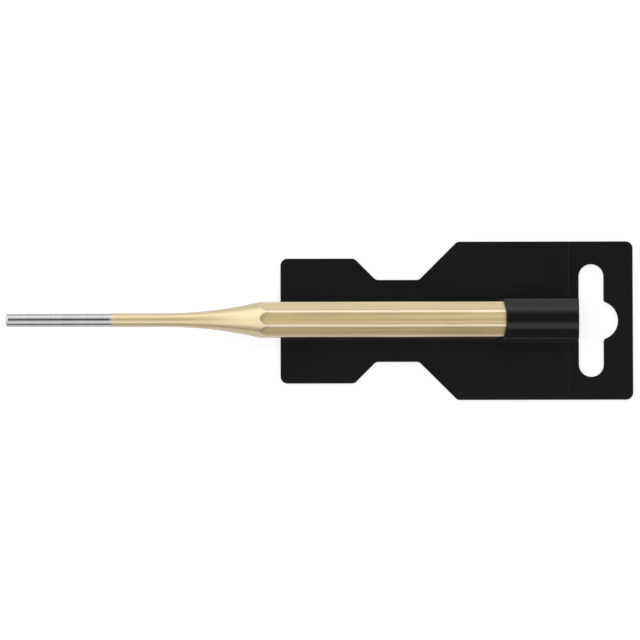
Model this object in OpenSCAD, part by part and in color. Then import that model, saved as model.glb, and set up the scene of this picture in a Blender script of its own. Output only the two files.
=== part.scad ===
// Pin punch held by its head in the sleeve of a moulded hang-up hanger.
// Millimetres. X runs along the punch toward the hang slot, and Z points up.
// The hanger lies on its back at Z = 0, and the origin is under the middle of the whole.

/* [Punch] */
// Overall length of the punch
punch_l = 150; // [130:1:180]
// Width of the octagonal shank across its flats
shank_af = 10; // [9:0.1:12]
// Depth taken off each edge of the octagon
edge_break = 0.05; // [0.02:0.01:0.15]
// Diameter of the lacquered pin
pin_d = 3.85; // [3:0.05:5]
// Length from the tip to the start of the flare
pin_l = 45; // [35:1:50]
// Radius of the concave flare between the pin and the shank
flare_r = 114; // [60:1:140]
// Length of the bare ground end of the pin
tip_l = 30; // [20:1:34]
// Depth ground off the pin along its bare end
ground_depth = 0.075; // [0.025:0.025:0.2]
// Length over which the grinding runs out at the lacquer
ground_runout = 0.6; // [0.6:0.1:1.5]
// Chamfer round the tip
tip_chamfer = 0.5; // [0.1:0.05:0.8]
// Diameter of the struck face at the head
head_face_d = 7.5; // [6:0.1:8.5]
// Length of the chamfer round the head
head_chamfer_l = 2; // [1:0.1:3]

/* [Hanger card] */
// Overall length of the card
card_l = 100; // [95:1:130]
// Width of the card at its hang slot
card_w = 45; // [42:0.5:60]
// Width of the card at its far end
tail_w = 35.5; // [30:0.5:40]
// Length of the straight side at the far end
tail_l = 21; // [15:0.1:25]
// Width of the waist
waist_w = 23.3; // [18:0.1:28]
// Length of the straight side of the waist
waist_l = 12.2; // [8:0.1:16]
// Thickness of the card
card_t = 1.2; // [0.8:0.1:2]
// Radius of the four outer corners
corner_r = 2; // [1:0.1:4]
// Radius of the bends at both ends of the slopes
bend_r = 1.75; // [0.5:0.25:2.5]
// Distance of the crease from the card's right edge
crease_edge = 18.35; // [17:0.05:25]
// Width of the crease
crease_w = 0.35; // [0.2:0.05:0.6]
// Depth of the crease
crease_depth = 0.2; // [0.1:0.05:0.4]

/* [Hang slot] */
// Length of the hang slot, across the card
slot_l = 32; // [28:0.5:36]
// Width of the hang slot
slot_w = 7; // [5:0.1:8]
// Distance of the slot's centre line from the card's right edge
slot_edge = 11.85; // [10:0.05:12]
// Radius of the eye in the middle of the slot
eye_r = 5.5; // [5:0.1:6]
// Offset of the eye's centre from the slot's centre line
eye_offset = 2.1; // [1.5:0.1:2.6]
// Radius of the fillets where the eye meets the slot
eye_fillet_r = 1; // [0.5:0.1:1.5]

/* [Sleeve] */
// Length of the sleeve along its foot
sleeve_l = 23.1; // [18:0.1:26]
// Wall of the sleeve over the shank's flats
sleeve_wall = 0.8; // [0.6:0.05:1.2]
// Radius of the sleeve's corners beside its ridge
ridge_r = 3.5; // [2:0.1:4]
// Radius of the sleeve's corners above its upright walls
shoulder_r = 1.5; // [0.5:0.1:3]
// Distance that the sleeve's mouth leans in from its foot to its ridge
mouth_lean = 2.3; // [0.2:0.1:3]
// Distance that the sleeve's end at the slot leans in from its foot to its ridge
end_lean = 0.2; // [0.1:0.05:0.8]
// Length of the head inside the sleeve
head_in = 10.7; // [6:0.1:14]
// Clearance between the shank and the sleeve, on every side
fit = 0.1; // [0.05:0.01:0.2]

/* [Hidden] */
$fn = 96;
// Sides of the large circle of the flare
flare_fn = 1440;
// Overrun of every cut, and the depth of every joined lap
cut = 1;

// The octagon: its corners lie half a side's angle from its flats
sides = 8;
side_angle = 360 / sides;
half_side_angle = side_angle / 2;
function octagon_r(af) = af / 2 / cos(half_side_angle);
edge_r = octagon_r(shank_af) - edge_break;
tip_d = pin_d - 2 * ground_depth;

// The bore's lowest flat is the card's own face
bore_af = shank_af + 2 * fit;
axis_z = card_t + bore_af / 2;
sleeve_w = bore_af + 2 * sleeve_wall;

// Places along X, from the right edge of the card to the tip of the punch.
// The sleeve ends flush with the near side of the hang slot.
total_l = punch_l - head_in + sleeve_l + slot_w / 2 + slot_edge;
card_right = total_l / 2;
card_left = card_right - card_l;
slot_x = card_right - slot_edge;
crease_x = card_right - crease_edge;
sleeve_right = slot_x - slot_w / 2;
sleeve_left = sleeve_right - sleeve_l;
tip_x = sleeve_left + head_in - punch_l;

// The card's upper outline from right to left, with its slopes at 45 degrees
waist_left = card_left + tail_l + (tail_w - waist_w) / 2;
waist_right = waist_left + waist_l;
shoulder = waist_right + (card_w - waist_w) / 2;
upper_outline = [
    [card_right, card_w / 2], [shoulder, card_w / 2],
    [waist_right, waist_w / 2], [waist_left, waist_w / 2],
    [card_left + tail_l, tail_w / 2], [card_left, tail_w / 2]
];
upper_radii = [corner_r, bend_r, bend_r, bend_r, bend_r, corner_r];
last = len(upper_outline) - 1;
outline = concat(upper_outline,
                 [for (i = [last : -1 : 0]) [upper_outline[i].x, -upper_outline[i].y]]);
radii = concat(upper_radii, [for (i = [last : -1 : 0]) upper_radii[i]]);

// A corner at b between its neighbours a and c, rounded to radius r
function unit(v) = v / norm(v);
function half_angle(a, b, c) = acos(unit(a - b) * unit(c - b)) / 2;
function touch(a, b, c, r) = b + unit(a - b) * r / tan(half_angle(a, b, c));
function centre(a, b, c, r) =
    b + unit(unit(a - b) + unit(c - b)) * r / sin(half_angle(a, b, c));
function is_convex(a, b, c) = cross(b - a, c - b) > 0;

// Turns what is drawn on the XY plane so that its Z runs along X
module along_x() {
    rotate([90, 0, 90]) children();
}

// Octagon with a flat on top, af wide across its flats
module octagon(af) {
    rotate(half_side_angle) circle(r = octagon_r(af), $fn = sides);
}

// Closed outline through points, in anticlockwise order, with a true arc at each corner
module rounded_outline(points, corner_radii) {
    n = len(points);
    before = [for (i = [0 : n - 1]) points[(i + n - 1) % n]];
    after = [for (i = [0 : n - 1]) points[(i + 1) % n]];
    chamfered = [for (i = [0 : n - 1]) each [
        touch(before[i], points[i], after[i], corner_radii[i]),
        touch(after[i], points[i], before[i], corner_radii[i])
    ]];
    difference() {
        union() {
            polygon(chamfered);
            for (i = [0 : n - 1])
                if (is_convex(before[i], points[i], after[i]))
                    translate(centre(before[i], points[i], after[i], corner_radii[i]))
                        circle(r = corner_radii[i]);
        }
        for (i = [0 : n - 1])
            if (!is_convex(before[i], points[i], after[i]))
                translate(centre(before[i], points[i], after[i], corner_radii[i]))
                    circle(r = corner_radii[i]);
    }
}

// Hang slot seen from above: a long slot with a round eye toward the card's right edge,
// and fillets where the eye meets the slot
module hang_slot_outline() {
    straight = slot_l - slot_w;
    for (end = [-1, 1]) translate([0, end * straight / 2]) circle(d = slot_w);
    offset(r = -eye_fillet_r) offset(delta = eye_fillet_r) {
        translate([-slot_w / 2, -straight / 2]) square([slot_w, straight]);
        translate([eye_offset, 0]) circle(r = eye_r);
    }
}

// Flat card with its slot and its crease, which stops at the foot of the sleeve
module card() {
    difference() {
        linear_extrude(card_t) rounded_outline(outline, radii);
        translate([slot_x, 0, -cut]) linear_extrude(card_t + 2 * cut) hang_slot_outline();
        for (side = [0, 1]) mirror([0, side, 0]) crease();
    }
}

// Shallow V groove from the sleeve's foot past the card's long edge
module crease() {
    translate([crease_x, card_w / 2 + cut, card_t])
        rotate([90, 0, 0])
            linear_extrude(card_w / 2 + cut - sleeve_w / 2)
                polygon([
                    [0, -crease_depth], [crease_w / 2, 0], [crease_w / 2, cut],
                    [-crease_w / 2, cut], [-crease_w / 2, 0]
                ]);
}

// Outside of the sleeve seen along the punch, about the punch's axis:
// half an octagon with rounded corners above, and straight walls down into the card
module sleeve_outline() {
    half = sleeve_w / 2;
    half_side = half * tan(half_side_angle);
    rounded_outline(
        [
            [half, -half], [half, half_side], [half_side, half],
            [-half_side, half], [-half, half_side], [-half, -half]
        ],
        [shoulder_r, shoulder_r, ridge_r, ridge_r, shoulder_r, shoulder_r]
    );
    foot = bore_af / 2 + card_t / 2;
    translate([-half, -foot]) square([sleeve_w, foot]);
}

// Side view of the sleeve, whose ends lean in toward its ridge
module sleeve_side() {
    foot = card_t / 2;
    ridge = axis_z + sleeve_w / 2;
    polygon([
        [sleeve_left, foot], [sleeve_right, foot], [sleeve_right, card_t],
        [sleeve_right - end_lean, ridge], [sleeve_left + mouth_lean, ridge], [sleeve_left, card_t]
    ]);
}

// Tunnel that grips the head of the punch
module sleeve() {
    difference() {
        intersection() {
            translate([sleeve_left, 0, axis_z])
                along_x() linear_extrude(sleeve_l) sleeve_outline();
            translate([0, sleeve_w / 2, 0])
                rotate([90, 0, 0]) linear_extrude(sleeve_w) sleeve_side();
        }
        translate([sleeve_left - cut, 0, axis_z])
            along_x() linear_extrude(sleeve_l + 2 * cut) octagon(bore_af);
    }
}

// One moulded piece: the card and the sleeve on its face
module hanger() {
    color([0.12, 0.12, 0.12]) {
        card();
        sleeve();
    }
}

// Half of the lacquered body: pin, concave flare, shank and head, with X as the radius
module body_profile() {
    translate([0, tip_l]) square([pin_d / 2, pin_l - tip_l]);
    difference() {
        polygon([
            [0, pin_l], [edge_r, pin_l], [edge_r, punch_l - head_chamfer_l],
            [head_face_d / 2, punch_l], [0, punch_l]
        ]);
        translate([pin_d / 2 + flare_r, pin_l]) circle(r = flare_r, $fn = flare_fn);
    }
}

// Half of the bare ground end, which runs out to the lacquer and laps into the pin
module tip_profile() {
    polygon([
        [0, 0], [tip_d / 2 - tip_chamfer, 0], [tip_d / 2, tip_chamfer],
        [tip_d / 2, tip_l - ground_runout], [pin_d / 2, tip_l],
        [tip_d / 2, tip_l + cut], [0, tip_l + cut]
    ]);
}

// One steel piece, turned and flattened to an octagon, with its tip at X = tip_x
module punch() {
    translate([tip_x, 0, axis_z]) along_x() {
        color([0.80, 0.72, 0.53])
            intersection() {
                rotate_extrude() body_profile();
                linear_extrude(punch_l) octagon(shank_af);
            }
        color([0.75, 0.75, 0.75]) rotate_extrude() tip_profile();
    }
}

hanger();
punch();
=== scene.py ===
# Pin punch held by its head in the sleeve of a moulded hang-up hanger.
# Metres. X runs along the punch toward the hang slot, Z points up, and the hanger lies on its back.
import math

import bmesh
import bpy
from mathutils import Matrix, Vector
from mathutils.geometry import tessellate_polygon


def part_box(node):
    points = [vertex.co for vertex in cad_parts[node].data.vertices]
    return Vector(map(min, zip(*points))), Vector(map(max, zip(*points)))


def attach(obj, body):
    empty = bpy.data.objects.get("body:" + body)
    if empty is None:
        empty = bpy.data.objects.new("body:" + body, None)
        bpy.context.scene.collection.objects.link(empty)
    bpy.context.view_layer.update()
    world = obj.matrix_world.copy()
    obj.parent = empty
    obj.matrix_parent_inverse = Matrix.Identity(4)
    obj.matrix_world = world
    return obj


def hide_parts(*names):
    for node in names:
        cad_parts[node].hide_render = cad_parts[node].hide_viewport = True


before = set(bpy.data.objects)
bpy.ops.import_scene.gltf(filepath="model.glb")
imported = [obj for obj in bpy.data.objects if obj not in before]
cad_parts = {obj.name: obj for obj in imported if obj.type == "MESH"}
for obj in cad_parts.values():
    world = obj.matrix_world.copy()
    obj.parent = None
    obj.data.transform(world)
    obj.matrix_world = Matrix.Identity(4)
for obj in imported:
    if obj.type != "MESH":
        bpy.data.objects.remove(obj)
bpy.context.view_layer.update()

MM = 0.001

# Where the two solids are: the punch's tip and axis, and both ends of the hanger
TIP_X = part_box("punch")[0].x
AXIS_Z = (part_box("punch")[0].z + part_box("punch")[1].z) / 2
CARD_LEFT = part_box("hanger")[0].x
CARD_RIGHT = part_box("hanger")[1].x

# In metres: points closer than the first are one point, and shorter edges than the second go
ONE_POINT = 1e-7
NO_LENGTH = 1e-8

# Octagon of the shank, in millimetres. Its flats are barely crowned, and stand furthest apart
# along their middles. The round blank that it is cut from is wider than its edges. The points round
# it gather at its edges, from 0 for evenly spaced to 1.
SIDES = 8
SIDE_SHARE = math.tan(math.pi / SIDES)
FLATS_APART = 10.05
FLAT_CROWN = 0.06
EDGE_ROUNDING = 0.22
FLAT_END_ROUNDING = 0.12
BLANK_R = 6.5
POINTS_ROUND = 160
GATHERING = 0.8

# Painted highlight on an edge between two flats: whole where their reaches from the axis differ by
# less than the first, in millimetres, and none from the second on
EDGE_HIGHLIGHT = (0.05, 0.42)

# Depths in millimetres of the octagon inside the blank: where the painted highlight on its edges
# fades in, where the one round the end of a flat ends, with its amount, and where a flat is wholly
# flat
EDGE_HIGHLIGHT_START = (-0.05, 0.1)
RIM_HIGHLIGHT_END = 0.15
RIM_HIGHLIGHT = 0.5
WHOLLY_FLAT = 0.3

# Punch, in millimetres, with places along it measured from its tip. The flare is a hollow radius
# that eases off in a soft bend. The flats begin past the first of two places in it, and are whole
# before the second.
PUNCH_L = 150
PIN_R = 1.925
PIN_L = 45
FLARE_R = 117
BEND_START = 70
BEND_L = 4
BEND_RATE = 0.008
FLATS_BEGIN = 71
FLATS_WHOLE = 76
FLARE_END = 83

# Rounded edge of the lacquer: places past its start, each with its depth below the pin's surface
LACQUER_EDGE = ((0, 0.03), (0.03, 0.01), (0.08, 0))

# Bare ground end, which laps under the lacquer
BARE_L = 30
BARE_R = 1.85
RUNOUT_L = 0.6
LAP_L = 0.3
LAP_DEPTH = 0.045
TIP_CROWN = 0.12
TIP_EDGE_R = 0.62

# Head: a cone that cuts into the flats past one place, and a crowned face with a rounded edge
CONE_SLOPE = 0.806
FLATS_END = 147.6
HEAD_FACE_R = 3.75
HEAD_CROWN = 0.08
HEAD_EDGE_R = 0.4

# Card of the hanger, in millimetres
CARD_W = 45
CARD_T = 1.2
CARD_EDGE_R = 0.18
TAIL_W = 35.5
TAIL_L = 21
WAIST_W = 23.3
WAIST_L = 12.2
CORNER_R = 2
BEND_R = 1.75

# Hang slot
SLOT_EDGE = 11.85
SLOT_L = 32
SLOT_R = 3.5
EYE_R = 5.5
EYE_OFFSET = 2.1
EYE_FILLET_R = 1

# Crease: half of its section from its lip to its bottom, as distances from its middle line and
# heights over the card's face
CREASE_EDGE = 18.35
CREASE_HALF = ((0.26, 0.02), (0.18, -0.02), (0.12, -0.07), (0.06, -0.15), (0.02, -0.19))
CREASE_GAP = 0.1
OVERRUN = 1

# Sleeve. Its walls start inside the card, and its foot's fillet meets the card at 12 degrees.
SLEEVE_L = 23.1
SLEEVE_HALF_W = 5.9
SLEEVE_BACK = 0.06
WALL_START = 0.7
WALL_LEVELS = (3, 5)
RIDGE_R = 3.5
SHOULDER_R = 1.5
MOUTH_LEAN = 2.3
END_LEAN = 0.2
FOOT_R = 0.28
FOOT_ANGLE = 90 - 12
BORE_HALF = 5.1
BORE_CORNER_R = 0.3
BORE_LEVELS = (1.5, 2.5, 3.5)
RIM_OUTER_R = 0.3
RIM_INNER_R = 0.14

# Steps of the quarter rounds on the card's edges and the sleeve's rims
ROUND_STEPS = 5

# Shading of the hanger: edges turned by more than this many degrees stay sharp. A face is level,
# and a corner nearly level, where the Z of its normal is above these.
SHARP_ANGLE = 32
LEVEL_FACE = 0.99999
LEVEL_CORNER = 0.85

# Colours
GOLD_DEEP = (0.6, 0.468, 0.226, 1)
GOLD_LIGHT = (0.83, 0.68, 0.37, 1)
GOLD_CLOUD = (0.75, 0.59, 0.29, 1)
# Pale gold of the painted highlight along the punch's edges and round the ends of its flats
GOLD_HIGHLIGHT = (1, 0.93, 0.7, 1)
STEEL_DARK = (0.56, 0.56, 0.56, 1)
STEEL_LIGHT = (0.64, 0.635, 0.63, 1)
STEEL_MARK = (0.5, 0.5, 0.505, 1)
BLACK_DEEP = (0.0068, 0.0068, 0.0069, 1)
BLACK_LIGHT = (0.0078, 0.0078, 0.008, 1)
FLOOR_LIT = (0.62, 0.62, 0.62, 1)
FLOOR_SEEN = (0.3, 0.3, 0.3, 1)
WHITE = (1, 1, 1, 1)

# Floor: its glow where it is seen, how much of that polished metal sees, its half width in metres,
# and how far it lies under the hanger in millimetres
FLOOR_GLOW = 0.76
FLOOR_IN_METAL = 0.3
FLOOR_HALF_W = 4
FLOOR_DROP = 0.2

# Camera: its distance in metres, its angles in degrees, and its aim in millimetres from the middle
# of the whole, at the height of the punch's axis
LENS = 397.6
SENSOR_W = 36
CAMERA_AWAY = 2
CAMERA_TILT = 86.2
CAMERA_ROLL = -0.12
AIM_X = 0.1
AIM_Y = -0.06


# Nodes

def put(tree, kind, inputs=None, **settings):
    """Adds a node with its settings, and feeds its inputs from numbers or other nodes' outputs."""
    made = tree.nodes.new(kind)
    for name, value in settings.items():
        setattr(made, name, value)
    for key, value in (inputs or {}).items():
        if isinstance(value, bpy.types.NodeSocket):
            tree.links.new(value, made.inputs[key])
        else:
            made.inputs[key].default_value = value
    return made


def calc(tree, operation, *values):
    """One step of arithmetic in a node tree."""
    return put(tree, "ShaderNodeMath", dict(enumerate(values)), operation=operation).outputs[0]


def plus(tree, first, second):
    """Sum of two values."""
    return calc(tree, "ADD", first, second)


def minus(tree, first, second):
    """Difference of two values."""
    return calc(tree, "SUBTRACT", first, second)


def times(tree, first, second):
    """Product of two values."""
    return calc(tree, "MULTIPLY", first, second)


def ramp(tree, value, low, high, start=0.0, end=1.0, kind="SMOOTHSTEP"):
    """Goes from start to end as value goes from low to high."""
    return put(tree, "ShaderNodeMapRange", {0: value, 1: low, 2: high, 3: start, 4: end},
               interpolation_type=kind).outputs[0]


def blended(tree, amount, first, second):
    """Colour between first and second."""
    return put(tree, "ShaderNodeMix", {0: amount, 6: first, 7: second}, data_type="RGBA").outputs[2]


def grain(tree, coords, scale, detail=2.0, roughness=0.5):
    """Noise of 0 to 1 on coordinates in millimetres."""
    inputs = {"Vector": coords, "Scale": scale, "Detail": detail, "Roughness": roughness}
    return put(tree, "ShaderNodeTexNoise", inputs).outputs[0]


def over_grain(tree, noise, start=0.0, end=1.0):
    """Goes from start to end over the values that noise mostly takes."""
    return ramp(tree, noise, 0.3, 0.7, start, end)


def millimetres(tree, stretch=(1, 1, 1)):
    """Object coordinates in millimetres, with each axis stretched by its own factor."""
    place = put(tree, "ShaderNodeTexCoord").outputs["Object"]
    scale = [1 / (MM * factor) for factor in stretch]
    return put(tree, "ShaderNodeMapping", {"Vector": place, "Scale": scale}).outputs[0]


def attribute(tree, name):
    """A value that the mesh carries."""
    return put(tree, "ShaderNodeAttribute", attribute_name=name).outputs["Fac"]


def finish_of(name):
    """A new material with its tree and its main shader."""
    material = bpy.data.materials.new(name)
    material.use_nodes = True
    return material, material.node_tree, material.node_tree.nodes["Principled BSDF"]


def dress(tree, skin, colour, rough, relief, depth, strength):
    """Gives a shader its colour, its roughness, and a relief of so many millimetres."""
    bump = put(tree, "ShaderNodeBump",
               {"Strength": strength, "Distance": depth * MM, "Height": relief})
    tree.links.new(colour, skin.inputs["Base Color"])
    tree.links.new(rough, skin.inputs["Roughness"])
    tree.links.new(bump.outputs[0], skin.inputs["Normal"])


# Finishes

def gold_lacquer():
    """Clear gold lacquer over steel that was ground along its length, with a painted highlight in
    pale gold along its edges and round the ends of its flats. The flats are drawn more than the
    turned flare, and the lacquer is duller on the pin."""
    material, tree, skin = finish_of("gold_lacquer")
    streaks = grain(tree, millimetres(tree, (160, 1, 1)), scale=1.7, detail=3, roughness=0.6)
    clouds = grain(tree, millimetres(tree, (5, 2, 2)), scale=0.35)
    fine = grain(tree, millimetres(tree, (12, 1, 1)), scale=7)
    along_x = put(tree, "ShaderNodeSeparateXYZ", {0: millimetres(tree)}).outputs["X"]
    flat = attribute(tree, "flat")

    # Drawn streaks, faint where the steel is turned and strongest on the flats near the head
    drawn = times(tree, flat, ramp(tree, along_x, -20, 50, 0.6, 1))
    drawn = calc(tree, "MULTIPLY_ADD", drawn, 0.85, 0.15)
    streaks = calc(tree, "MULTIPLY_ADD", minus(tree, streaks, 0.5), drawn, 0.5)

    # Colour, with a painted highlight in pale gold along the edges and round the ends of the flats
    highlight_share = times(tree, attribute(tree, "painted_edge_highlight"), ramp(tree, clouds, 0.35, 0.65, 0.75, 1.0))
    coat = blended(tree, over_grain(tree, streaks), GOLD_DEEP, GOLD_LIGHT)
    coat = blended(tree, over_grain(tree, clouds, 0, 0.3), coat, GOLD_CLOUD)
    coat = blended(tree, times(tree, highlight_share, 0.85), coat, GOLD_HIGHLIGHT)

    # Roughness, higher on the flats and on the pin
    rough = calc(tree, "MULTIPLY_ADD", flat, 0.16, over_grain(tree, streaks, 0.28, 0.34))
    rough = plus(tree, rough, ramp(tree, along_x, -34, -20, 0.1, 0))
    rough = plus(tree, rough, over_grain(tree, clouds, -0.02, 0.03))

    relief = plus(tree, times(tree, streaks, 0.7), times(tree, fine, 0.3))
    dress(tree, skin, coat, rough, relief, depth=0.012, strength=0.6)
    skin.inputs["Metallic"].default_value = 0.86
    skin.inputs["Coat Weight"].default_value = 1
    skin.inputs["Coat IOR"].default_value = 2.1
    skin.inputs["Coat Roughness"].default_value = 0.1
    return material


def bare_steel():
    """Steel ground round the pin, with fine rings and a few deeper ones."""
    material, tree, skin = finish_of("bare_steel")
    rings = grain(tree, millimetres(tree, (1, 40, 40)), scale=5, detail=3)
    marks = grain(tree, millimetres(tree, (1, 12, 12)), scale=0.8)
    tone = blended(tree, over_grain(tree, rings), STEEL_DARK, STEEL_LIGHT)
    tone = blended(tree, ramp(tree, marks, 0.45, 0.75, 0, 0.5), tone, STEEL_MARK)
    rough = plus(tree, over_grain(tree, rings, 0.02, 0.05), ramp(tree, marks, 0.4, 0.7, 0, 0.03))
    dress(tree, skin, tone, rough, rings, depth=0.002, strength=0.3)
    skin.inputs["Metallic"].default_value = 1
    return material


def black_plastic():
    """Black moulded plastic with the fine grain of its mould and a little flow in its gloss."""
    material, tree, skin = finish_of("black_plastic")
    fine = grain(tree, millimetres(tree), scale=5, detail=3, roughness=0.6)
    flow = grain(tree, millimetres(tree, (3, 1, 1)), scale=0.12)
    tone = blended(tree, over_grain(tree, flow), BLACK_DEEP, BLACK_LIGHT)
    rough = plus(tree, ramp(tree, fine, 0.25, 0.75, 0.14, 0.2), over_grain(tree, flow, 0, 0.03))
    dress(tree, skin, tone, rough, fine, depth=0.004, strength=0.4)
    skin.inputs["Specular IOR Level"].default_value = 0.38
    return material


def pale_floor():
    """White floor that the camera sees as white, with the object's shadow kept. Polished metal
    sees it dimmer, and it throws back a plain share of the light that falls on it."""
    material, tree, skin = finish_of("pale_floor")
    skin.inputs["Roughness"].default_value = 0.9
    skin.inputs["Specular IOR Level"].default_value = 0
    path = put(tree, "ShaderNodeLightPath").outputs
    seen = calc(tree, "MAXIMUM", path["Is Camera Ray"], path["Is Transmission Ray"])
    seen = calc(tree, "MAXIMUM", seen, times(tree, path["Is Glossy Ray"], FLOOR_IN_METAL))
    tree.links.new(blended(tree, seen, FLOOR_LIT, FLOOR_SEEN), skin.inputs["Base Color"])
    strength = times(tree, seen, FLOOR_GLOW)
    glow = put(tree, "ShaderNodeEmission", {"Color": WHITE, "Strength": strength})
    both = put(tree, "ShaderNodeAddShader", {0: skin.outputs[0], 1: glow.outputs[0]})
    tree.links.new(both.outputs[0], tree.nodes["Material Output"].inputs["Surface"])
    return material


# Making of meshes

def as_object(name, mesh):
    """A shown object at the origin."""
    obj = bpy.data.objects.new(name, mesh)
    bpy.context.scene.collection.objects.link(obj)
    return obj


def evaluated_mesh(obj, name):
    """The object's mesh with its modifiers applied. The object itself is removed."""
    graph = bpy.context.evaluated_depsgraph_get()
    mesh = bpy.data.meshes.new_from_object(obj.evaluated_get(graph), preserve_all_data_layers=True,
                                           depsgraph=graph)
    mesh.name = name
    bpy.data.objects.remove(obj)
    return mesh


def cleaned(mesh):
    """Merges doubled points and turns every face outward."""
    bm = bmesh.new()
    bm.from_mesh(mesh)
    bmesh.ops.remove_doubles(bm, verts=bm.verts, dist=ONE_POINT)
    bmesh.ops.dissolve_degenerate(bm, edges=bm.edges, dist=NO_LENGTH)
    bmesh.ops.recalc_face_normals(bm, faces=bm.faces)
    bm.to_mesh(mesh)
    bm.free()
    return mesh


def smooth_mesh(bm, name):
    """A smooth mesh with every face outward."""
    bmesh.ops.recalc_face_normals(bm, faces=bm.faces)
    for face in bm.faces:
        face.smooth = True
    mesh = bpy.data.meshes.new(name)
    bm.to_mesh(mesh)
    bm.free()
    return mesh


def add_walls(bm, rings):
    """Faces between each ring of points and the next."""
    for low, high in zip(rings, rings[1:]):
        for i in range(len(low)):
            bm.faces.new((low[i - 1], low[i], high[i], high[i - 1]))


def add_cap(bm, loops):
    """Flat faces that fill the first loop of points, but for the loops inside it."""
    points = [point for loop in loops for point in loop]
    for corners in tessellate_polygon([[point.co for point in loop] for loop in loops]):
        bm.faces.new([points[i] for i in corners])


def arc(centre, radius, start, end, steps):
    """Points of an arc from start to end degrees, each with its direction from the centre."""
    made = []
    for step in range(steps + 1):
        angle = math.radians(start + (end - start) * step / steps)
        way = Vector((math.cos(angle), math.sin(angle)))
        made.append((Vector(centre) + radius * way, way))
    return made


def inward(points):
    """The same points with their directions turned round."""
    return [(point, -way) for point, way in points]


def quarter_round():
    """A rounded edge of radius 1: how far each point is in from one face, and from the other."""
    angles = [math.radians(90 * i / ROUND_STEPS) for i in range(ROUND_STEPS + 1)]
    return [(1 - math.cos(angle), 1 - math.sin(angle)) for angle in angles]


# Punch

def turned_steel():
    """Sweeps a ring along a turned profile, flattened where it would stand past the octagon."""
    tree = bpy.data.node_groups.new("turned_steel", "GeometryNodeTree")
    tree.interface.new_socket(name="Piece", in_out="OUTPUT", socket_type="NodeSocketGeometry")
    tree.interface.new_socket(name="Profile", in_out="INPUT", socket_type="NodeSocketGeometry")
    for name in ("Flats apart", "Flat crown", "Edge rounding", "Flat end rounding", "Axis height"):
        tree.interface.new_socket(name=name, in_out="INPUT", socket_type="NodeSocketFloat")
    tree.interface.new_socket(name="Points round", in_out="INPUT", socket_type="NodeSocketInt")
    tree.interface.new_socket(name="Finish", in_out="INPUT", socket_type="NodeSocketMaterial")
    given = put(tree, "NodeGroupInput").outputs

    # A ring swept along the profile
    line = put(tree, "GeometryNodeMeshToCurve", {"Mesh": given["Profile"]})
    ring = put(tree, "GeometryNodeCurvePrimitiveCircle",
               {"Resolution": given["Points round"], "Radius": MM})
    swept = put(tree, "GeometryNodeCurveToMesh",
                {"Curve": line.outputs[0], "Profile Curve": ring.outputs[0], "Fill Caps": True})

    # Points round the axis, gathered toward the octagon's edges
    position = put(tree, "GeometryNodeInputPosition").outputs[0]
    place = put(tree, "ShaderNodeSeparateXYZ", {0: position}).outputs
    even = calc(tree, "ARCTAN2", place["Z"], place["Y"])
    wave = calc(tree, "SINE", times(tree, even, SIDES))
    around = calc(tree, "MULTIPLY_ADD", wave, GATHERING / SIDES, even)

    # Reach of the octagon at that angle: two barely crowned flats that meet in a rounded edge
    half_side = math.pi / SIDES
    from_flat = calc(tree, "ABSOLUTE", calc(tree, "WRAP", around, half_side, -half_side))
    flat_r = times(tree, given["Flats apart"], 0.5)

    def flat_reach(angle):
        across = calc(tree, "DIVIDE", calc(tree, "TANGENT", angle), SIDE_SHARE)
        drop = times(tree, times(tree, across, across), given["Flat crown"])
        return calc(tree, "DIVIDE", minus(tree, flat_r, drop), calc(tree, "COSINE", angle))

    near = flat_reach(from_flat)
    next_one = flat_reach(minus(tree, 2 * half_side, from_flat))
    octagon = calc(tree, "SMOOTH_MIN", near, next_one, given["Edge rounding"])

    # The lesser of the turned radius and the octagon's reach
    turned = put(tree, "GeometryNodeInputNamedAttribute", {"Name": "turned_radius"},
                 data_type="FLOAT").outputs["Attribute"]
    radius = calc(tree, "SMOOTH_MIN", turned, octagon, given["Flat end rounding"])
    moved = put(tree, "ShaderNodeCombineXYZ", {
        "X": place["X"],
        "Y": times(tree, radius, calc(tree, "COSINE", around)),
        "Z": calc(tree, "MULTIPLY_ADD", radius, calc(tree, "SINE", around), given["Axis height"])})

    # Painted highlight between two flats and round the end of a flat, and where the flats are
    past = minus(tree, turned, octagon)
    between = calc(tree, "ABSOLUTE", minus(tree, near, next_one))
    edge = ramp(tree, between, EDGE_HIGHLIGHT[0] * MM, EDGE_HIGHLIGHT[1] * MM, 1, 0)
    start = ramp(tree, past, EDGE_HIGHLIGHT_START[0] * MM, EDGE_HIGHLIGHT_START[1] * MM)
    rim = ramp(tree, calc(tree, "ABSOLUTE", past), 0, RIM_HIGHLIGHT_END * MM, RIM_HIGHLIGHT, 0)
    highlight_share = calc(tree, "MAXIMUM", times(tree, edge, start), rim)
    flat = ramp(tree, past, 0, WHOLLY_FLAT * MM)
    marked = swept
    for name, value in (("painted_edge_highlight", highlight_share), ("flat", flat)):
        marked = put(tree, "GeometryNodeStoreNamedAttribute",
                     {"Geometry": marked.outputs[0], "Name": name, "Value": value},
                     data_type="FLOAT", domain="POINT")

    shaped = put(tree, "GeometryNodeSetPosition",
                 {"Geometry": marked.outputs[0], "Position": moved.outputs[0]})
    smooth = put(tree, "GeometryNodeSetShadeSmooth", {"Geometry": shaped.outputs[0]})
    real = put(tree, "GeometryNodeRealizeInstances", {"Geometry": smooth.outputs[0]})
    dressed = put(tree, "GeometryNodeSetMaterial",
                  {"Geometry": real.outputs[0], "Material": given["Finish"]})
    put(tree, "NodeGroupOutput", {"Piece": dressed.outputs[0]})
    return tree


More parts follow.
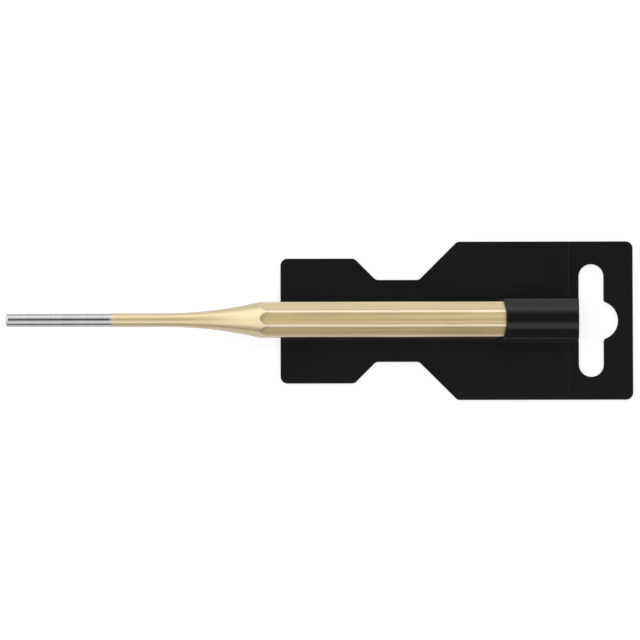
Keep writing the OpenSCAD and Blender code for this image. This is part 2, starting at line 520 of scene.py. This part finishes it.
def turned_piece(name, tree, stations, material):
    """A punch piece swept along stations, each a distance from the tip and a turned radius."""
    profile = bpy.data.meshes.new(name)
    profile.from_pydata([(TIP_X + s * MM, 0, 0) for s, r in stations],
                        [(i, i + 1) for i in range(len(stations) - 1)], [])
    radii = profile.attributes.new("turned_radius", "FLOAT", "POINT")
    radii.data.foreach_set("value", [r * MM for s, r in stations])
    blank = as_object(name + "_profile", profile)
    sweep = blank.modifiers.new("turned_steel", "NODES")
    sweep.node_group = tree
    sizes = {"Flats apart": FLATS_APART * MM, "Flat crown": FLAT_CROWN * MM,
             "Edge rounding": EDGE_ROUNDING * MM, "Flat end rounding": FLAT_END_ROUNDING * MM,
             "Axis height": AXIS_Z, "Points round": POINTS_ROUND, "Finish": material}
    for socket in tree.interface.items_tree:
        if socket.name in sizes:
            sweep[socket.identifier] = sizes[socket.name]
    piece = as_object(name, cleaned(evaluated_mesh(blank, name)))
    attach(piece, "punch")
    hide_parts("punch")
    return piece


def along(start, end, step):
    """Evenly spaced distances from start up to but not including end."""
    count = max(1, round((end - start) / step))
    return [start + (end - start) * i / count for i in range(count)]


def crowned_face(face_r, crown, shares):
    """Rings of a crowned face at shares of its radius: how far each lies back, and its radius."""
    return [(crown * share ** 2, face_r * share) for share in shares]


def lacquered_stations():
    """Pin, hollow flare with a soft bend, blank wider than the octagon, and the coned head."""
    def flare(s):
        hollow = min(s, BEND_START) - PIN_L
        depth = math.sqrt(FLARE_R ** 2 - hollow ** 2)
        slope = hollow / depth
        bent = max(0, min(s - BEND_START, BEND_L))
        past = max(0, s - BEND_START - BEND_L)
        end_slope = slope - 2 * BEND_RATE * BEND_L
        return PIN_R + FLARE_R - depth + slope * bent - BEND_RATE * bent ** 2 + end_slope * past

    def cone(s):
        return HEAD_FACE_R + (PUNCH_L - s) * CONE_SLOPE

    flare_places = (along(PIN_L, FLATS_BEGIN, step=0.5)
                    + along(FLATS_BEGIN, FLATS_WHOLE, step=0.08)
                    + along(FLATS_WHOLE, FLARE_END, step=0.5))
    cone_start = PUNCH_L - (BLANK_R - HEAD_FACE_R) / CONE_SLOPE
    stations = [(BARE_L + s, PIN_R - depth) for s, depth in LACQUER_EDGE]
    stations += [(s, PIN_R) for s in along(BARE_L + 1, PIN_L, step=2)]
    stations += [(s, flare(s)) for s in flare_places]
    stations += [(s, BLANK_R) for s in along(FLARE_END, cone_start, step=4)]

    turn = math.degrees(math.atan(1 / CONE_SLOPE))
    face_r = HEAD_FACE_R - HEAD_EDGE_R * math.tan(math.radians(turn / 2))
    centre = (PUNCH_L - HEAD_CROWN - HEAD_EDGE_R, face_r)
    rounded = [tuple(point) for point, way in arc(centre, HEAD_EDGE_R, turn, 0, steps=8)]
    cone_places = (along(cone_start, FLATS_END, step=0.3)
                   + along(FLATS_END, rounded[0][0] - 0.1, step=0.07))
    face = crowned_face(face_r, HEAD_CROWN, (0.85, 0.7, 0.5, 0.3, 0.15, 0.02))
    stations += [(s, cone(s)) for s in cone_places]
    return stations + rounded + [(PUNCH_L - back, r) for back, r in face]


def bare_stations():
    """Ground end: a crowned face, a rounded chamfer, and a run-out that the lacquer starts on."""
    face_r = BARE_R - TIP_EDGE_R
    stations = crowned_face(face_r, TIP_CROWN, (0.03, 0.25, 0.5, 0.7, 0.85))
    rounded = arc((TIP_CROWN + TIP_EDGE_R, face_r), TIP_EDGE_R, 172, 90, steps=9)
    stations += [tuple(point) for point, way in rounded]
    stations += [(s, BARE_R) for s in along(1, BARE_L - RUNOUT_L, step=2)]
    return stations + [(BARE_L - RUNOUT_L, BARE_R), (BARE_L - RUNOUT_L / 2, (BARE_R + PIN_R) / 2),
                       (BARE_L, PIN_R), (BARE_L + LAP_L, PIN_R - LAP_DEPTH)]


# Hanger

def rounded_corner(before, corner, after, radius):
    """Arc of an outline's corner, with its directions out of the card."""
    a, b = (before - corner).normalized(), (after - corner).normalized()
    half = a.angle(b) / 2
    centre = corner + (a + b).normalized() * (radius / math.sin(half))
    convex = (corner - before).cross(after - corner) > 0
    start = corner + a * (radius / math.tan(half)) - centre
    end = corner + b * (radius / math.tan(half)) - centre
    first = math.degrees(math.atan2(start.y, start.x))
    turn = math.degrees(math.atan2(start.cross(end), start.dot(end)))
    points = arc(centre, radius, first, first + turn, steps=14 if convex and abs(turn) > 60 else 8)
    return points if convex else inward(points)


def card_outline():
    """Outline of the card, anticlockwise, in millimetres: broad end, slopes, waist and tail."""
    right, left = CARD_RIGHT / MM, CARD_LEFT / MM
    waist_left = left + TAIL_L + (TAIL_W - WAIST_W) / 2
    waist_right = waist_left + WAIST_L
    shoulder = waist_right + (CARD_W - WAIST_W) / 2
    upper = [((right, CARD_W / 2), CORNER_R), ((shoulder, CARD_W / 2), BEND_R),
             ((waist_right, WAIST_W / 2), BEND_R), ((waist_left, WAIST_W / 2), BEND_R),
             ((left + TAIL_L, TAIL_W / 2), BEND_R), ((left, TAIL_W / 2), CORNER_R)]
    corners = upper + [((x, -y), radius) for (x, y), radius in reversed(upper)]
    points = [Vector(place) for place, radius in corners]
    made = []
    for i, (place, radius) in enumerate(corners):
        made += rounded_corner(points[i - 1], points[i], points[(i + 1) % len(points)], radius)
    return made


def slot_outline():
    """Outline of the hang slot and its eye, in millimetres, with directions out of the plastic."""
    slot_x = CARD_RIGHT / MM - SLOT_EDGE
    end_y = SLOT_L / 2 - SLOT_R
    fillet_x = slot_x + SLOT_R + EYE_FILLET_R
    eye_x = slot_x + EYE_OFFSET
    fillet_y = math.sqrt((EYE_R + EYE_FILLET_R) ** 2 - (fillet_x - eye_x) ** 2)
    lean = math.degrees(math.atan2(fillet_y, fillet_x - eye_x))
    points = (inward(arc((slot_x, -end_y), SLOT_R, 180, 360, steps=28))
              + arc((fillet_x, -fillet_y), EYE_FILLET_R, 180, 180 - lean, steps=8)
              + inward(arc((eye_x, 0), EYE_R, -lean, lean, steps=30))
              + arc((fillet_x, fillet_y), EYE_FILLET_R, 180 + lean, 180, steps=8)
              + inward(arc((slot_x, end_y), SLOT_R, 0, 180, steps=28)))
    return [pair for i, pair in enumerate(points)
            if (pair[0] - points[i - 1][0]).length > ONE_POINT / MM]


def card_mesh():
    """Flat card with rounded edges, and its slot, in millimetres."""
    levels = [(CARD_EDGE_R * inset, CARD_EDGE_R * rise) for rise, inset in quarter_round()]
    levels += [(inset, CARD_T - height) for inset, height in reversed(levels)]
    bm = bmesh.new()
    ends = []
    for outline in (card_outline(), slot_outline()):
        rings = []
        for inset, height in levels:
            ring = [point - way * inset for point, way in outline]
            rings.append([bm.verts.new((p.x, p.y, height)) for p in ring])
        add_walls(bm, rings)
        ends.append((rings[0], rings[-1]))
    for loops in zip(*ends):
        add_cap(bm, loops)
    return smooth_mesh(bm, "card")


def sleeve_section():
    """Section of the sleeve on Y and Z in millimetres: its outside over the ridge, then its bore
    back. Each point has its direction out of the plastic and the radius of its rim."""
    axis = AXIS_Z / MM
    shoulder, ridge = SLEEVE_HALF_W - SHOULDER_R, SLEEVE_HALF_W - RIDGE_R
    foot = (SLEEVE_HALF_W + FOOT_R, CARD_T + FOOT_R * math.sin(math.radians(FOOT_ANGLE)))
    outside = [(Vector((foot[0], WALL_START)), Vector((0, 1)))]
    outside += inward(arc(foot, FOOT_R, 270, 180, steps=6))
    outside += [(Vector((SLEEVE_HALF_W, z)), Vector((1, 0))) for z in WALL_LEVELS]
    outside += arc((shoulder, axis + shoulder * SIDE_SHARE), SHOULDER_R, 0, 45, steps=9)
    outside += arc((ridge * SIDE_SHARE, axis + ridge), RIDGE_R, 45, 90, steps=12)

    slope = Vector((-1, 1)).normalized()
    inner = BORE_HALF - BORE_CORNER_R
    bore = [(Vector((BORE_HALF * SIDE_SHARE + z - CARD_T, z)), slope)
            for z in (WALL_START, *BORE_LEVELS)]
    for centre, start in (((inner, axis - inner * SIDE_SHARE), -45),
                          ((inner, axis + inner * SIDE_SHARE), 0),
                          ((inner * SIDE_SHARE, axis + inner), 45)):
        bore += inward(arc(centre, BORE_CORNER_R, start, start + 45, steps=4))

    def mirrored(points):
        return [(Vector((-p.x, p.y)), Vector((-w.x, w.y))) for p, w in reversed(list(points))]

    loop = [(p, w, RIM_OUTER_R) for p, w in outside + mirrored(outside)]
    back = mirrored(reversed(bore)) + list(reversed(bore))
    return loop + [(p, w, RIM_INNER_R) for p, w in back]


def sleeve_mesh():
    """Tunnel on the card, in millimetres: one section swept along X, with rounded rims and ends
    that lean in. Its end at the slot stands back by a hair."""
    section = sleeve_section()
    right = CARD_RIGHT / MM - SLOT_EDGE - SLOT_R - SLEEVE_BACK
    left = right - SLEEVE_L + SLEEVE_BACK
    ridge = AXIS_Z / MM + SLEEVE_HALF_W
    bm = bmesh.new()
    rings = []
    for end, way, slant in ((left, 1, MOUTH_LEAN), (right, -1, END_LEAN)):
        side = []
        for rise, inset in quarter_round():
            ring = []
            for point, out, rim in section:
                y, z = point - out * rim * inset
                lean = slant * (z - CARD_T) / (ridge - CARD_T)
                ring.append(bm.verts.new((end + way * (lean + rim * rise), y, z)))
            side.append(ring)
        rings += side if way > 0 else reversed(side)
    add_walls(bm, rings)
    for ring in (rings[0], rings[-1]):
        add_cap(bm, [ring])
    return smooth_mesh(bm, "sleeve")


def crease_mesh():
    """What the crease's two grooves take off, in millimetres: soft lips and a narrow bottom."""
    x = CARD_RIGHT / MM - CREASE_EDGE
    lip = CREASE_HALF[0][0]
    section = [(-u, v) for u, v in CREASE_HALF] + list(reversed(CREASE_HALF))
    section += [(lip, OVERRUN), (-lip, OVERRUN)]
    start = SLEEVE_HALF_W + FOOT_R + CREASE_GAP
    bm = bmesh.new()
    for side in (-1, 1):
        ends = [[bm.verts.new((x + u, side * y, CARD_T + v)) for u, v in section]
                for y in (start, CARD_W / 2 + OVERRUN)]
        add_walls(bm, ends)
        for end in ends:
            bm.faces.new(end)
    return smooth_mesh(bm, "crease")


def flat_faces_levelled(mesh):
    """Sets the normals round every level face to plain up or down, so that it shades evenly."""
    level = {}
    for face in mesh.polygons:
        if abs(face.normal.z) > LEVEL_FACE:
            level.update((point, math.copysign(1, face.normal.z)) for point in face.vertices)
    normals = [corner.vector.copy() for corner in mesh.corner_normals]
    for i, loop in enumerate(mesh.loops):
        up = level.get(loop.vertex_index, 0)
        if normals[i].z * up > LEVEL_CORNER:
            normals[i] = Vector((0, 0, up))
    mesh.normals_split_custom_set(normals)
    return mesh


def moulded_hanger(material):
    """One moulded piece: the card, the sleeve joined to its face, and the crease cut into it.
    The three are joined in millimetres, where their smallest faces are still large enough."""
    body = as_object("hanger_card", card_mesh())
    tools = [(as_object("hanger_sleeve", sleeve_mesh()), "UNION"),
             (as_object("hanger_crease", crease_mesh()), "DIFFERENCE")]
    for tool, operation in tools:
        step = body.modifiers.new(tool.name, "BOOLEAN")
        step.operation, step.solver, step.object = operation, "EXACT", tool
    mesh = evaluated_mesh(body, "moulded_hanger")
    mesh.transform(Matrix.Scale(MM, 4))
    cleaned(mesh)
    for tool, operation in tools:
        bpy.data.objects.remove(tool)

    # Large faces set the shading, and sharp edges stay sharp
    mesh.set_sharp_from_angle(angle=math.radians(SHARP_ANGLE))
    body = as_object("moulded_hanger_edges", mesh)
    weigh = body.modifiers.new("weighted_normal", "WEIGHTED_NORMAL")
    weigh.keep_sharp, weigh.weight = True, 100
    mesh = flat_faces_levelled(evaluated_mesh(body, "moulded_hanger"))
    mesh.materials.clear()
    mesh.materials.append(material)
    piece = as_object("moulded_hanger", mesh)
    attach(piece, "hanger")
    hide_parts("hanger")
    return piece


# Studio

def studio_light():
    """A white tent, bright at both sides but for its far right, and dimmer low down at its front
    left. Across its middle, from front to back, run a dark low edge, a pale front, a dark opening
    overhead for the camera, and a bright lamp. The camera sees plain white."""
    world = bpy.data.worlds.new("white_tent")
    world.use_nodes = True
    tree = world.node_tree
    tree.nodes.clear()

    # Two angles in degrees from straight up: lean goes toward the back, and aside to the right
    generated = put(tree, "ShaderNodeTexCoord").outputs["Generated"]
    way = put(tree, "ShaderNodeSeparateXYZ", {0: generated}).outputs
    lean = times(tree, calc(tree, "ARCTAN2", way["Y"], way["Z"]), 180 / math.pi)
    aside = times(tree, calc(tree, "ARCSINE", way["X"]), 180 / math.pi)

    def changed(level, *slopes):
        """The level after slopes, each from one lean to another with the change between them."""
        for start, end, change in slopes:
            level = plus(tree, level, ramp(tree, lean, start, end, 0, change, "LINEAR"))
        return level

    middle = changed(0.02, (-78, -55, 1.0), (-22, 2, -0.98), (9, 62, 1.43), (70, 90, -0.8))
    sides = changed(0.45, (-68, -38, 0.83))
    low_right = times(tree, ramp(tree, aside, -10, 15, 0, 0.8), ramp(tree, lean, -68, -38, 1, 0))
    sides = changed(plus(tree, sides, low_right), (-6, 12, 0.3), (62, 90, -0.66))
    sides = times(tree, sides, ramp(tree, aside, 34, 56, 1, 0.25))
    inside = times(tree, ramp(tree, aside, -23, -7), ramp(tree, aside, 7, 23, 1, 0))
    level = ramp(tree, inside, 0, 1, sides, middle, "LINEAR")
    camera = put(tree, "ShaderNodeLightPath").outputs["Is Camera Ray"]
    strength = ramp(tree, camera, 0, 1, level, 1.0, "LINEAR")
    light = put(tree, "ShaderNodeBackground", {"Color": WHITE, "Strength": strength})
    put(tree, "ShaderNodeOutputWorld", {"Surface": light.outputs[0]})
    bpy.context.scene.world = world


def white_floor():
    """Plain floor just under the hanger's back."""
    mesh = bpy.data.meshes.new("floor")
    half, low = FLOOR_HALF_W, -FLOOR_DROP * MM
    corners = [(-half, -half, low), (half, -half, low), (half, half, low), (-half, half, low)]
    mesh.from_pydata(corners, [], [(0, 1, 2, 3)])
    mesh.materials.append(pale_floor())
    as_object("floor", mesh)


def photo_camera():
    """Camera high above the punch's axis, a little toward the front and turned by a hair."""
    data = bpy.data.cameras.new("camera")
    data.lens, data.sensor_width = LENS, SENSOR_W
    data.clip_start, data.clip_end = 0.01, 50
    camera = as_object("camera", data)
    tilt = math.radians(CAMERA_TILT)
    back = Vector((0, -math.cos(tilt), math.sin(tilt)))
    camera.location = Vector((AIM_X * MM, AIM_Y * MM, AXIS_Z)) + CAMERA_AWAY * back
    camera.rotation_euler = (-back).to_track_quat("-Z", "Y").to_euler()
    camera.rotation_euler.rotate_axis("Z", math.radians(CAMERA_ROLL))
    bpy.context.scene.camera = camera


photo_camera()
studio_light()
white_floor()
steel_tree = turned_steel()
punch = turned_piece("lacquered_punch", steel_tree, lacquered_stations(), gold_lacquer())
tip = turned_piece("bare_tip", steel_tree, bare_stations(), bare_steel())
moulded_hanger(black_plastic())
bpy.context.scene.view_settings.view_transform = "Standard"
